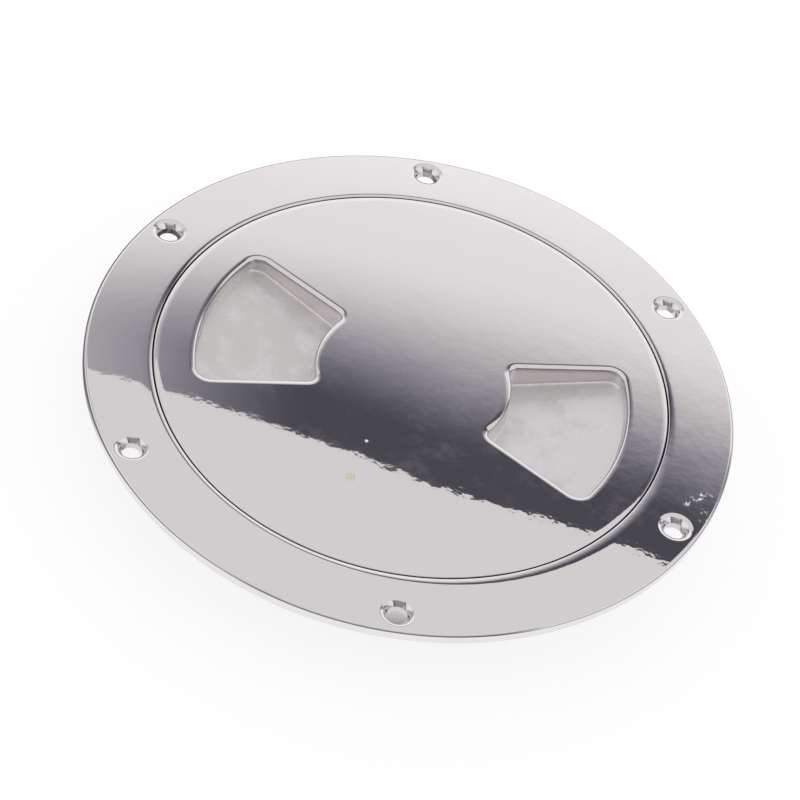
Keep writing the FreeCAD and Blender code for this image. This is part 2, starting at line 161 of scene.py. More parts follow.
class Recipe:
    """The node tree of one material or of the world, with a method for each kind of step."""

    def __init__(self, owner):
        owner.use_nodes = True
        self.tree = owner.node_tree
        self.tree.nodes.clear()

    def make(self, kind, settings=None, inputs=None):
        """A node of a type, with its settings set first and then the values or links of its sockets."""
        node = self.tree.nodes.new(kind)
        for name, setting in (settings or {}).items():
            setattr(node, name, setting)
        for name, given in (inputs or {}).items():
            if isinstance(given, Flow):
                self.tree.links.new(given.socket, node.inputs[name])
            else:
                node.inputs[name].default_value = given
        return node

    def flow(self, kind, settings=None, inputs=None, output=0):
        return Flow(self, self.make(kind, settings, inputs).outputs[output])

    def reckon(self, operation, first, second=0.0):
        return self.flow("ShaderNodeMath", {"operation": operation}, {0: first, 1: second})

    def ease(self, amount, start, end, low=0.0, high=1.0):
        """An S-shaped climb from low at start to high at end, level outside them."""
        span = {"From Min": start, "From Max": end, "To Min": low, "To Max": high}
        return self.flow(
            "ShaderNodeMapRange", {"interpolation_type": "SMOOTHSTEP"}, {"Value": amount, **span}
        )

    def blend(self, share, first, second):
        """A colour between two, by a share from 0 to 1."""
        sockets = {"Factor": share, 6: first, 7: second}
        return self.flow("ShaderNodeMix", {"data_type": "RGBA"}, sockets, output=2)

    def noise(self, place, size, detail=2.0, roughness=0.5):
        """Smooth noise about 0, with lumps of about that size in metres."""
        sockets = {"Vector": place, "Scale": 1 / size, "Detail": detail, "Roughness": roughness}
        return self.flow("ShaderNodeTexNoise", {}, sockets) - 0.5

    def place(self):
        """Object coordinates, which stay with the piece when it moves."""
        return self.flow("ShaderNodeTexCoord", output="Object")

    def parts(self, vector):
        """The x, y and z of a vector, each as a number."""
        split = self.make("ShaderNodeSeparateXYZ", {}, {0: vector})
        return [Flow(self, split.outputs[axis]) for axis in range(3)]


print("shader maths ready")

# %% [markdown]
# The plate is cast, and then only its face is buffed to a mirror: the flange, the lid, and the rolled edges
# of the finger pockets. The walls and floors of the pockets and the whole underside keep the satin skin of
# the casting, and the threads and the seal's seat are turned on a lathe. All this is one metal, so one
# material function makes all of it, and only masks say which finish a place has. Faces could be picked by
# hand for each finish instead, but masks made from height, radius and slope have soft borders and follow
# the shape. They are read in Object coordinates, so that they stay with the piece as it turns.

# %% Masks for mirror, lathe and casting
POLISH_FADE = 0.35 * MM
TURNED_FADE = 0.1 * MM
LOOKS_DOWN = (-0.8, -0.4)

Where = namedtuple("Where", "place x y z radius slope")


def where_on(recipe):
    """Where a point lies on its piece. The radius is the root of x squared plus y squared. The slope is the
    upward part of the direction that the surface faces: 1 on a face that looks up, -1 on one that looks
    down."""
    place = recipe.place()
    x, y, z = recipe.parts(place)
    facing = recipe.flow("ShaderNodeTexCoord", output="Normal")
    return Where(place, x, y, z, (x * x + y * y) ** 0.5, recipe.parts(facing)[2])


def finishes(recipe, at, polished_above, turned_band):
    """Masks of the mirror, the turned faces and the casting skin. Metal is polished above a height unless
    it looks down, turned between two radii, and cast elsewhere."""
    polished = recipe.ease(at.z, polished_above - POLISH_FADE, polished_above + POLISH_FADE)
    polished = polished * recipe.ease(at.slope, *LOOKS_DOWN)
    inner, outer = turned_band
    turned = recipe.ease(at.radius, inner - TURNED_FADE, inner) * (
        1 - recipe.ease(at.radius, outer, outer + TURNED_FADE)
    ) * (1 - polished)
    return polished, turned, (1 - polished) * (1 - turned)


print("finishes fade over", round(2 * POLISH_FADE / MM, 2), "mm at the edge of the polish")

# %% [markdown]
# No mirror is quite flat. A buffing wheel leaves long waves and a fine ripple that bend reflections. In the
# photograph the ripple is stronger towards the right. A mould leaves grains on its casting, and a lathe
# tool leaves rings. Such relief is far too fine to model, so it goes into a bump. Each kind is a height in
# metres, so that one Bump node with a distance of 1 takes their sum.

# %% The relief of each finish
WAVE_SIZE = 34 * MM
WAVE_HEIGHT = 0.008 * MM
RIPPLE_SIZE = 5.5 * MM
RIPPLE_HEIGHT = 0.0052 * MM
BUFFED_FROM_TO = (-20 * MM, 55 * MM)
BUFFED_SOFT_HARD = (0.7, 1.7)
TOOL_RING_STEP = 0.32 * MM
TOOL_RING_HEIGHT = 0.0009 * MM
GRAIN_SIZE = 0.7 * MM
GRAIN_HEIGHT = 0.012 * MM


def relief(recipe, at, polished, turned, cast, grain):
    """The bumped normal. The rings of a lathe tool are the sine of radius plus height, so that they show on
    upright walls and on level faces alike."""
    waves = recipe.noise(at.place, WAVE_SIZE, detail=1) * WAVE_HEIGHT
    ripple = recipe.noise(at.place, RIPPLE_SIZE, detail=3) * RIPPLE_HEIGHT
    hard_buffed = recipe.ease(at.x, *BUFFED_FROM_TO, *BUFFED_SOFT_HARD)
    tool_rings = recipe.reckon("SINE", (at.radius + at.z) * (2 * math.pi / TOOL_RING_STEP))
    height = (waves + ripple * hard_buffed) * polished
    height = height + tool_rings * TOOL_RING_HEIGHT * turned
    height = height + grain * cast * GRAIN_HEIGHT
    return recipe.flow("ShaderNodeBump", {}, {"Strength": 1.0, "Distance": 1.0, "Height": height})


print("waves of", WAVE_SIZE / MM, "mm, ripple of", RIPPLE_SIZE / MM, "mm")

# %% [markdown]
# A plate that has been handled carries marks: scuffs beside a screw hole, specks of dust, and a spot of
# dried polishing paste near a pocket. Each is a spot round a place, broken up by one fine noise. An image
# could hold them too, but a few spots are quicker to move.

# %% Marks on the polish
SPOT_CORE = 0.55
SPECK_SIZE = 1.7 * MM
STREAKS = (0.05, 0.12)
PASTE_CRUMBS = 4
PASTE_EDGE = (0.2, 1.3)


def spot(recipe, place, centre, reach):
    """1 near a place of the face and 0 beyond its reach, both in mm: a mask for marks."""
    sockets = {0: place, 1: (centre[0] * MM, centre[1] * MM, FACE_Z)}
    away = recipe.flow("ShaderNodeVectorMath", {"operation": "DISTANCE"}, sockets, output="Value")
    return recipe.ease(away, reach * MM, reach * SPOT_CORE * MM)


def marks(recipe, place, scuffed, dusty, pasty):
    """Masks of scuffs, dust and paste. Scuffs are given by place, reach and strength, the others by place
    and size. Each mask is the sum of its spots."""
    specks = recipe.noise(place, SPECK_SIZE, detail=3, roughness=0.65)
    streaks = recipe.ease(specks, *STREAKS)
    scuffs, dust, paste = 0.0, 0.0, 0.0
    for centre, reach, strength in scuffed:
        scuffs = streaks * spot(recipe, place, centre, reach) * strength + scuffs
    for centre, size in dusty:
        dust = spot(recipe, place, centre, size) + dust
    for centre, size in pasty:
        crumbs = spot(recipe, place, centre, size) * (specks * PASTE_CRUMBS + 1)
        paste = recipe.ease(crumbs, *PASTE_EDGE) + paste
    return scuffs, dust, paste


print("marks ready, with specks of", SPECK_SIZE / MM, "mm")

# %% [markdown]
# Now the steel itself. The pockets' walls are brighter than their floors, and that brightness is painted
# light: cast faces that do not look up get a far paler colour than the level floors. The floors are stained
# in patches, and the patches spread further towards the left, so the floors darken that way. A faint film
# dulls the mirror here and there, and the very edge of the flange gets a painted highlight, a paler colour
# than its face. One material with masks could also be several materials on picked faces, but then every
# border between them would be a hard line.

# %% Steel, from mirror to casting skin
STEEL = (0.665, 0.645, 0.655, 1.0)
CAST_STEEL = (0.65, 0.632, 0.635, 1.0)
# Painted light: a far paler steel for cast faces that do not look up, so the pocket walls, the collar and the
# underside read brighter than the floors.
PAINTED_LIGHT_WALL_STEEL = (0.93, 0.91, 0.905, 1.0)
STAINED_STEEL = (0.585, 0.565, 0.56, 1.0)
# A paler steel for the scuffs, and for the painted highlight on the flange's very edge.
SCUFF_AND_HIGHLIGHT_STEEL = (0.8, 0.79, 0.8, 1.0)
DUST = (0.85, 0.85, 0.83, 1.0)
POLISH_PASTE = (0.68, 0.62, 0.38, 1.0)
MIRROR_ROUGHNESS = 0.012
TURNED_ROUGHNESS = 0.24
TURNED_MOTTLE = 0.06
CAST_ROUGHNESS = 0.42
CAST_MOTTLE = 0.16
CAST_GRAIN = 0.08
SCUFF_ROUGHNESS = 0.3
DUST_ROUGHNESS = 0.5
MOTTLE_SIZE = 6 * MM
FILM_SIZE = 8 * MM
FILM_EDGE = (0.0, 0.22)
FILM = 0.065
LEVEL = (0.6, 0.9)
STAIN_GRAIN = 0.25
LEFTWARD_DARKENING = 3.0
STAIN_EDGE = (-0.1, 0.16)
EDGE_HIGHLIGHT_FADE = 0.06 * MM


def steel(name, polished_above, turned_band, highlight_from, scuffed, dusty, pasty):
    """One casting's steel, with its finishes, its relief and its marks. From a given radius outwards its very
    edge gets a painted highlight, a paler colour. Colours are laid over each other, each by its own mask."""
    material = bpy.data.materials.new(name)
    recipe = Recipe(material)
    at = where_on(recipe)
    polished, turned, cast = finishes(recipe, at, polished_above, turned_band)
    scuffs, dust, paste = marks(recipe, at.place, scuffed, dusty, pasty)
    mottle = recipe.noise(at.place, MOTTLE_SIZE, detail=4, roughness=0.62)
    grain = recipe.noise(at.place, GRAIN_SIZE, detail=2)
    film = recipe.ease(recipe.noise(at.place, FILM_SIZE, detail=5, roughness=0.72), *FILM_EDGE) * polished
    level = recipe.ease(at.slope, *LEVEL)
    # Patches of noise on level cast faces, pushed further towards -x, so that the floors darken towards the
    # left.
    stained = mottle + grain * STAIN_GRAIN - at.x * LEFTWARD_DARKENING
    stains = recipe.ease(stained, *STAIN_EDGE) * cast * level
    # Painted highlight: from the given radius outwards the outermost edge gets a paler steel colour.
    painted_edge_highlight = recipe.ease(at.radius, highlight_from, highlight_from + EDGE_HIGHLIGHT_FADE)

    roughness = (
        MIRROR_ROUGHNESS * polished
        + (TURNED_ROUGHNESS + mottle * TURNED_MOTTLE) * turned
        + (CAST_ROUGHNESS + mottle * CAST_MOTTLE + grain * CAST_GRAIN) * cast
        + scuffs * SCUFF_ROUGHNESS + (dust + paste) * DUST_ROUGHNESS
    )
    # Cast faces that do not look up get the far paler wall steel and level cast faces the darker cast steel:
    # painted light that makes the pocket walls brighter than their floors.
    colour = recipe.blend(cast * level, recipe.blend(cast, STEEL, PAINTED_LIGHT_WALL_STEEL), CAST_STEEL)
    for mask, tint in (
        (stains, STAINED_STEEL), (painted_edge_highlight, SCUFF_AND_HIGHLIGHT_STEEL), (scuffs, SCUFF_AND_HIGHLIGHT_STEEL),
        (dust, DUST), (paste, POLISH_PASTE),
    ):
        colour = recipe.blend(mask, colour, tint)
    sockets = {
        "Base Color": colour,
        "Metallic": 1.0 - dust - film * FILM,
        "Roughness": roughness,
        "Normal": relief(recipe, at, polished, turned, cast, grain),
    }
    shader = recipe.flow("ShaderNodeBsdfPrincipled", {}, sockets)
    recipe.make("ShaderNodeOutputMaterial", {}, {"Surface": shader})
    return material


ring_steel = steel(
    "ring_steel", FACE_Z - 3.2 * MM, (51 * MM, 57.3 * MM), PLATE_RADIUS - 0.12 * MM,
    scuffed=[((62.9, -25.4), 4.6, 0.9), ((65.4, -30.2), 3.4, 0.9)], dusty=[], pasty=[],
)
lid_steel = steel(
    "lid_steel", FACE_Z - 1.1 * MM, (50 * MM, 57 * MM), PLATE_RADIUS,
    scuffed=[], dusty=[((-9.1, -21.8), 0.45), ((-9.3, -27.6), 0.3)], pasty=[((-11.8, -32.6), 1.3)],
)
print("ring and lid are steel")

# %% [markdown]
# The O-ring is moulded rubber: nearly black, with a dull bloom that varies over a few millimetres. It is a
# plain round ring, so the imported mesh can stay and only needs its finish.

# %% Rubber for the seal
RUBBER = (0.022, 0.022, 0.024, 1.0)
RUBBER_BLOOM = (0.045, 0.045, 0.048, 1.0)
BLOOM_SIZE = 4 * MM
RUBBER_ROUGHNESS = 0.5
BLOOM_ROUGHNESS = 0.15
RUBBER_GRAIN_SIZE = 0.4 * MM
RUBBER_GRAIN_HEIGHT = 0.006 * MM


def rubber(name):
    """Moulded black rubber with a patchy bloom and a fine grain."""
    material = bpy.data.materials.new(name)
    recipe = Recipe(material)
    place = recipe.place()
    bloom = recipe.noise(place, BLOOM_SIZE, detail=3) + 0.5
    grain = recipe.noise(place, RUBBER_GRAIN_SIZE) * RUBBER_GRAIN_HEIGHT
    bump = recipe.flow("ShaderNodeBump", {}, {"Strength": 1.0, "Distance": 1.0, "Height": grain})
    sockets = {
        "Base Color": recipe.blend(bloom, RUBBER, RUBBER_BLOOM),
        "Roughness": RUBBER_ROUGHNESS + bloom * BLOOM_ROUGHNESS,
        "Normal": bump,
    }
    shader = recipe.flow("ShaderNodeBsdfPrincipled", {}, sockets)
    recipe.make("ShaderNodeOutputMaterial", {}, {"Surface": shader})
    return material


for material_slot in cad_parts["lid_o_ring"].material_slots:
    material_slot.material = rubber("seal_rubber")
print("seal is rubber")

# %% [markdown]
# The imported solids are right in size, but a mirror shows more than a size. A buffing wheel rolls every edge
# of a face off by a few hundredths of a millimetre, and reflections bend along those edges. The facets of a
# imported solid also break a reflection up. So the ring and the lid are built again as fine surfaces in the
# same places. Most of them are profiles: lines in radius and height, with their corners rounded, that are
# carried round the axis. All shapes from here on are in mm, and a piece turns them into metres.

# %% Rounded profiles
ARC_STEP = math.radians(12)


def rounded(corners):
    """Points of a profile through corners of (radius, height, rounding). A rounding is an arc that touches
    both lines of its corner. Its points divide it evenly: on a circle, a point is the sum of the first and
    the last spoke, each times the sine of its angle to the other, over the sine of the whole sweep."""
    corners = np.array(corners, float)
    places, roundings = corners[:, :2], corners[:, 2]
    points = [places[:1]]
    for before, corner, after, rounding in zip(places, places[1:], places[2:], roundings[1:]):
        if rounding == 0:
            points.append(corner[None])
            continue
        back = (before - corner) / np.linalg.norm(before - corner)
        ahead = (after - corner) / np.linalg.norm(after - corner)
        opening = math.acos(np.clip(back @ ahead, -1, 1))
        sweep = math.pi - opening
        reach = rounding / math.tan(opening / 2)
        between = (back + ahead) / np.linalg.norm(back + ahead)
        middle = corner + between * rounding / math.sin(opening / 2)
        share = np.linspace(0, 1, max(3, math.ceil(sweep / ARC_STEP) + 1))[:, None]
        first, last = corner + back * reach - middle, corner + ahead * reach - middle
        spokes = first * np.sin((1 - share) * sweep) + last * np.sin(share * sweep)
        points.append(middle + spokes / math.sin(sweep))
    points.append(places[-1:])
    return np.vstack(points)


def rolled_off(edge, way, roll, face_z, count=7):
    """Points of a face that a buffing wheel rolled off towards an edge. roll is a width and a depth. The
    drop is the depth times the square of the share of the width. way is 1 for an outer edge, -1 for an
    inner one."""
    width, depth = roll
    share = np.linspace(0, 1, count)
    return np.column_stack([edge - way * width * (1 - share), face_z - depth * share**2])


def rolled_rows(edge, way, widths, slopes, face_z, count=9):
    """The same as rows, with a width and a slope at the edge that vary round the axis. The depth is half of
    the slope times the width."""
    share = np.linspace(0, 1, count)[:, None]
    return edge - way * widths * (1 - share), face_z - slopes / 2 * widths * share**2


def quarter(count):
    """Angles of a quarter turn, evenly divided."""
    return np.linspace(0, math.pi / 2, count)


print("a quarter round gets", len(rounded([(0, 0, 0), (5, 0, 1), (5, 5, 0)])) - 2, "points")

# %% [markdown]
# A grid of points becomes faces in one step, because the four corners of its cells are four shifted views
# of one array of indices. The grids of a piece are stacked and welded where their borders meet, which also
# closes seams. Edges sharper than 35 degrees stay crisp, and all else is shaded smooth.

# %% Grids into pieces
WELD = 0.0008
CRISP = math.radians(35)


def grid_faces(rows, columns, start=0):
    """The quads of a grid of points stored row by row, as an array of four indices each."""
    index = start + np.arange(rows * columns).reshape(rows, columns)
    cells = (index[:-1, :-1], index[:-1, 1:], index[1:, 1:], index[1:, :-1])
    return np.stack(cells, axis=-1).reshape(-1, 4)


def turned_about(points, angle):
    """Points turned about the axis: x cos - y sin, x sin + y cos."""
    x, y, z = np.moveaxis(np.asarray(points, float), -1, 0)
    cosine, sine = math.cos(angle), math.sin(angle)
    return np.stack([x * cosine - y * sine, x * sine + y * cosine, z], axis=-1)


def flat_sheet(outline, holes=()):
    """A flat face inside an outline and outside its holes, as points and triangles. It is filled with long
    triangles, which a flat face can afford."""
    loops = [np.asarray(loop) for loop in (outline, *holes)]
    triangles = tessellate_polygon([[Vector(point) for point in loop] for loop in loops])
    return np.vstack(loops), np.array(triangles)


def piece_of(name, grids, sheets, material):
    """One welded mesh from grids of points and from flat sheets, given in mm."""
    points, faces, start = [], [], 0
    for grid in grids:
        rows, columns = grid.shape[:2]
        points.append(grid.reshape(-1, 3))
        faces.extend(grid_faces(rows, columns, start).tolist())
        start += rows * columns
    for sheet_points, triangles in sheets:
        points.append(sheet_points)
        faces.extend((triangles + start).tolist())
        start += len(sheet_points)
    mesh = bpy.data.meshes.new(name)
    mesh.from_pydata(np.vstack(points) * MM, [], faces)
    made = bmesh.new()
    made.from_mesh(mesh)
    bmesh.ops.remove_doubles(made, verts=made.verts, dist=WELD * MM)
    bmesh.ops.dissolve_degenerate(made, edges=made.edges, dist=WELD * MM / 4)
    bmesh.ops.recalc_face_normals(made, faces=made.faces)
    open_edges = sum(len(edge.link_faces) != 2 for edge in made.edges)
    inside_out = made.calc_volume(signed=True) < 0
    if inside_out:
        bmesh.ops.reverse_faces(made, faces=made.faces)
    made.to_mesh(mesh)
    made.free()
    mesh.polygons.foreach_set("use_smooth", np.ones(len(mesh.polygons), bool))
    mesh.set_sharp_from_angle(angle=CRISP)
    mesh.materials.append(material)
    piece = bpy.data.objects.new(name, mesh)
    bpy.context.scene.collection.objects.link(piece)
    mesh.calc_loop_triangles()
    print(name, "has", len(mesh.loop_triangles), "triangles and", open_edges, "open edges")
    return piece


print("pieces weld at", WELD, "mm")

# %% [markdown]
# Both threads are one ridge that climbs round a cylinder. An upright grid would need a great many rows to
# catch a slanting ridge, so this grid is sheared: each row climbs with the ridge and keeps its place across
# it. Rows that would leave the cylinder are held at its rims, where the weld folds them away. The ridge
# swells from nothing and fades out again over a few degrees, as a cutting tool leaves it.

# %% A thread on a cylinder
AROUND = 360
TURN = np.linspace(0, 2 * math.pi, AROUND + 1)
PITCH = 4.0
THREAD_HEIGHT = 1.5
RIDGE_FOOT = 1.18
RIDGE_CREST = 0.63
RIDGE_GUARD = 0.06
CREST_ROUND = 0.12
RUN_OUT = math.radians(14)


def eased(share):
    """The S-shaped climb from 0 to 1: three times the square of the share less twice its cube."""
    share = np.clip(share, 0, 1)
    return share * share * (3 - 2 * share)


def thread_rows(base, way, ridge_start, ridge_rise, low_z, high_z, start_turn=0.0):
    """Radius and height of the rows of a threaded cylinder from low_z to high_z. The height of a row is its
    own place plus the pitch times the share of a turn, held between the rims. Its radius is the base, plus
    in the thread's way the height of the ridge at that place across it. way is 1 outwards, -1 inwards."""
    slant = [-RIDGE_CREST - CREST_ROUND / 2, -RIDGE_CREST + CREST_ROUND]
    across = np.array([-RIDGE_FOOT - RIDGE_GUARD, -RIDGE_FOOT, *slant])
    across = np.concatenate([across, -across[::-1]])
    rise = np.array([0, 0, 1 - CREST_ROUND, 1, 1, 1 - CREST_ROUND, 0, 0])
    laps = np.arange(
        math.floor((low_z - ridge_start) / PITCH) - 2, math.ceil((high_z - ridge_start) / PITCH) + 2
    )
    lap = np.repeat(laps, len(across))[:, None]
    place = (ridge_start + PITCH * laps[:, None] + across).reshape(-1, 1)
    ahead = TURN[None, :] - start_turn
    climbed = ahead + 2 * math.pi * lap
    whole = ridge_rise / PITCH * 2 * math.pi
    height = np.clip(place + PITCH * ahead / (2 * math.pi), low_z, high_z)
    swell = eased(climbed / RUN_OUT) * eased((whole - climbed) / RUN_OUT)
    radius = base + way * THREAD_HEIGHT * np.tile(rise, len(laps))[:, None] * swell
    return radius, height


def carried_round(*parts):
    """A grid of points from parts of a profile, each either plain points or rows that vary with the turn:
    x is the radius times the cosine of the turn, y the radius times its sine."""
    radii, heights = [], []
    for part in parts:
        if isinstance(part, tuple):
            radii.append(part[0])
            heights.append(part[1])
        else:
            radii.append(np.repeat(part[:, :1], len(TURN), axis=1))
            heights.append(np.repeat(part[:, 1:], len(TURN), axis=1))
    radius, height = np.vstack(radii), np.vstack(heights)
    return np.stack([radius * np.cos(TURN), radius * np.sin(TURN), height], axis=-1)


def loop_at(radius, height):
    """One circle of points, without the double point at its seam."""
    return carried_round(np.array([[radius, height]]))[0, :-1]


print("threads have", AROUND, "steps a turn and a pitch of", PITCH, "mm")

# %% [markdown]
# The ring has six countersunk screw holes, and a recess for the lid. Buffing rolls their edges off, and the
# wheel took most off the recess on one side, so that roll-off varies round the axis. A hole is one profile
# carried round its own axis. Holes could be cut by Booleans, but those leave thin triangles that a mirror
# shows.

# %% Holes and lips of the ring
FACE = FACE_Z / MM
GUARD = 0.1
RECESS_RADIUS = 56.85
RECESS_ROUND = 0.2
HOLE_CIRCLE = 66.25
HOLE_COUNT = 6
FIRST_HOLE = 30
HOLE_RADIUS = 2.15
SINK_RADIUS = 3.85
CONE_RADIUS = 3.0
CONE_START = (0.02, 0.014)
CONE_DEPTH = 1.3
THROAT_ROUND = 0.15
EXIT_ROUND = 0.1
HOLE_STEPS = 96
SINK_ROLL = (0.85, 0.22)


def at_holes(profile):
    """Grids of one profile of radius and height, carried round the axis of each screw hole."""
    bearing = np.linspace(0, 2 * math.pi, HOLE_STEPS + 1)
    x = HOLE_CIRCLE + profile[:, :1] * np.cos(bearing)
    y = profile[:, :1] * np.sin(bearing)
    z = np.repeat(profile[:, 1:], len(bearing), axis=1)
    first = np.stack([x, y, z], axis=-1)
    turns = [FIRST_HOLE + 360 / HOLE_COUNT * number for number in range(HOLE_COUNT)]
    return [turned_about(first, math.radians(turn)) for turn in turns]


def recess_lip(roll):
    """Rows of the small round that ends the roll-off at the recess: an arc of a quarter turn."""
    angle = quarter(8)[1:, None]
    radius = RECESS_RADIUS + RECESS_ROUND * (1 - np.sin(angle))
    return radius * np.ones_like(TURN), roll[1][-1] - RECESS_ROUND * (1 - np.cos(angle))


sinks = at_holes(np.vstack([
    [[SINK_RADIUS + GUARD, FACE]],
    rolled_off(CONE_RADIUS, -1, SINK_ROLL, FACE, count=9),
    rounded([
        (CONE_RADIUS - CONE_START[0], FACE - SINK_ROLL[1] - CONE_START[1], 0),
        (HOLE_RADIUS, FACE - CONE_DEPTH, THROAT_ROUND),
        (HOLE_RADIUS, 0, EXIT_ROUND), (HOLE_RADIUS + GUARD, 0, 0),
    ]),
]))
print(len(sinks), "countersunk holes on a radius of", HOLE_CIRCLE, "mm")

# %% [markdown]
# The flange is flat. Its face is filled with flat triangles between circles, and only a narrow band round
# each hole and along each edge is a grid. Such a guard band keeps the shading normals of the flat straight
# up, so that its reflections stay straight too. Below the flange the collar drops through the deck, with
# the thread inside it.

# %% Build the ring
FOOT = FOOT_Z / MM
LEDGE = seal_low.z / MM
LEDGE_ROUND = 0.12
RECESS_WALL_FROM = 1
RIM_RADIUS = PLATE_RADIUS / MM
RIM_ROUND = 0.8
UNDER_ROUND = 0.9
BORE_RADIUS = 53.4
LEAD_IN = 0.4
RING_RIDGE_START = 2.6
RING_RIDGE_RISE = 8.0
COLLAR_RADIUS = 59.4
COLLAR_FOOT_RADIUS = 56.2
SHOULDER = (-4.2, -7.4)
SHOULDER_ROUND = 0.8
ROLL_WIDTH = 0.9
ROLL_WIDENS = 1.5
ROLL_WIDEST = math.radians(-45)
ROLL_SLOPE = 0.12
ROLL_SOFTENS = -0.055

recess_edge = RECESS_RADIUS + RECESS_ROUND
rim_edge = RIM_RADIUS - RIM_ROUND
under_in, under_out = COLLAR_RADIUS + GUARD, RIM_RADIUS - UNDER_ROUND - GUARD
wide_side = np.maximum(np.cos(TURN - ROLL_WIDEST), 0) ** 3
roll_widths = ROLL_WIDTH + ROLL_WIDENS * wide_side
roll_slopes = ROLL_SLOPE + ROLL_SOFTENS * wide_side
recess_roll = rolled_rows(recess_edge, -1, roll_widths, roll_slopes, FACE)
guard_in = recess_edge + ROLL_WIDTH + ROLL_WIDENS + GUARD
guard_out = rim_edge - GUARD

ring_thread = thread_rows(
    BORE_RADIUS, -1, FOOT + RING_RIDGE_START, RING_RIDGE_RISE, FOOT, LEDGE - LEAD_IN
)

rim = carried_round(
    rounded([
        (guard_out, FACE, 0), (RIM_RADIUS, FACE, RIM_ROUND),
        (RIM_RADIUS, 0, UNDER_ROUND), (under_out, 0, 0),
    ]),
)
bore = carried_round(
    np.array([[guard_in, FACE]]),
    recess_roll,
    recess_lip(recess_roll),
    rounded([
        (RECESS_RADIUS, FACE - RECESS_WALL_FROM, 0), (RECESS_RADIUS, LEDGE, LEDGE_ROUND),
        (BORE_RADIUS + LEAD_IN, LEDGE, 0), (BORE_RADIUS, LEDGE - LEAD_IN, 0),
    ]),
    tuple(rows[::-1] for rows in ring_thread),
    rounded([
        (BORE_RADIUS, FOOT, 0), (COLLAR_FOOT_RADIUS, FOOT, SHOULDER_ROUND),
        (COLLAR_FOOT_RADIUS, SHOULDER[1], SHOULDER_ROUND), (COLLAR_RADIUS, SHOULDER[0], SHOULDER_ROUND),
        (COLLAR_RADIUS, 0, 0), (under_in, 0, 0),
    ]),
)
face_sheet = flat_sheet(
    loop_at(guard_out, FACE), [loop_at(guard_in, FACE)] + [sink[0, :-1] for sink in sinks]
)
under_sheet = flat_sheet(
    loop_at(under_out, 0), [loop_at(under_in, 0)] + [sink[-1, :-1] for sink in sinks]
)
ring = piece_of("flange_ring", [rim, bore, *sinks], [face_sheet, under_sheet], ring_steel)
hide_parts("deck_ring")
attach(ring, "ring")

# %% [markdown]
# The two finger pockets are sectors of a ring with rounded corners. One function gives such an outline with
# the same number of points at any inset, so a wall, a rounded lip or the round at the floor is a stack of
# outlines, each a little smaller and lower than the last.

# %% Outlines of the pockets
HALF_ANGLE = math.radians(22.75)
POCKET = (21.75, 47.45, 2.6, 2.0, 3.2)
BOSS = (19.55, 50.3, 4.8, 4.2, 1.5)
BOSS_MOUTH = (20.7, 47.1, 3.7, 3.1, 2.0)
BOSS_WALL = 2.2
FLOOR_DEEP = -2.6
FLOOR_SHALLOW = -0.2
FLOOR_SLOPE = (FLOOR_SHALLOW - FLOOR_DEEP) / (POCKET[1] - POCKET[0])
OUTER_STEPS = 22
CORNER_STEPS = 18
SIDE_STEPS = 24
INNER_STEPS = 12


def sector(inner, outer, offset, inner_corner, outer_corner, grow=0.0):
    """The outline of a rounded sector about +X, as points (x, y) from its outer arc round and back. A side
    runs at the half angle, offset from the axis. A corner's circle touches its side and its arc: it lies
    offset less its radius from the radial line, and its distance from the origin is the arc's radius with
    its own taken off or added on. Growing moves every arc and side outwards by that much."""
    along = np.array([math.cos(HALF_ANGLE), math.sin(HALF_ANGLE)])
    across = np.array([-along[1], along[0]])
    far_away, near_away = offset - outer_corner, offset - inner_corner
    far = far_away * across + math.sqrt((outer - outer_corner) ** 2 - far_away**2) * along
    near = near_away * across + math.sqrt((inner + inner_corner) ** 2 - near_away**2) * along
    side_way = math.atan2(across[1], across[0])
    far_way = math.atan2(far[1], far[0])
    near_way = math.atan2(near[1], near[0])

    def arc(middle, radius, first, last, count):
        way = np.linspace(first, last, count)
        return np.column_stack([middle[0] + radius * np.cos(way), middle[1] + radius * np.sin(way)])

    far_corner = arc(far, outer_corner + grow, far_way, side_way, CORNER_STEPS)
    near_corner = arc(near, inner_corner + grow, side_way, near_way + math.pi, CORNER_STEPS)
    share = np.linspace(0, 1, SIDE_STEPS)[1:-1, None]
    upper = np.vstack([
        arc((0, 0), outer + grow, 0, far_way, OUTER_STEPS)[:-1],
        far_corner,
        far_corner[-1] + (near_corner[0] - far_corner[-1]) * share,
        near_corner,
        arc((0, 0), inner - grow, near_way, 0, INNER_STEPS)[1:],
    ])
    return np.vstack([upper, upper[-2:0:-1] * (1, -1)])


def floor_at(outline):
    """Height of the sloping floor under each point of an outline."""
    return FLOOR_DEEP + (outline[:, 0] - POCKET[0]) * FLOOR_SLOPE


def stack_of(levels):
    """A closed grid from levels of (shape, grow, height, share of the floor's own height)."""
    rows = []
    for shape, grow, height, on_floor in levels:
        outline = sector(*shape, grow)
        rows.append(np.column_stack([outline, height + on_floor * floor_at(outline)]))
    rows = np.stack(rows)
    return np.concatenate([rows, rows[:, :1]], axis=1)


print("a pocket's outline has", len(sector(*POCKET)), "points")

# %% [markdown]
# A pocket goes down from a rolled-off mouth over a rounded lip and a wall to a sloping floor. Under it a
# boss of even wall hangs from the disc. Its shell starts inside the metal of the disc, and its outer end
# runs into the skirt, so no seam has to be cut between them.

# %% Levels of the pockets and their bosses
DISC_UNDER = -0.2
LIP_ROUND = 0.65
FLOOR_ROUND = 0.6
BOSS_ROUND = 1.0
BOSS_SEAT = 0.1
MOUTH_ROLL = (0.9, 0.03)


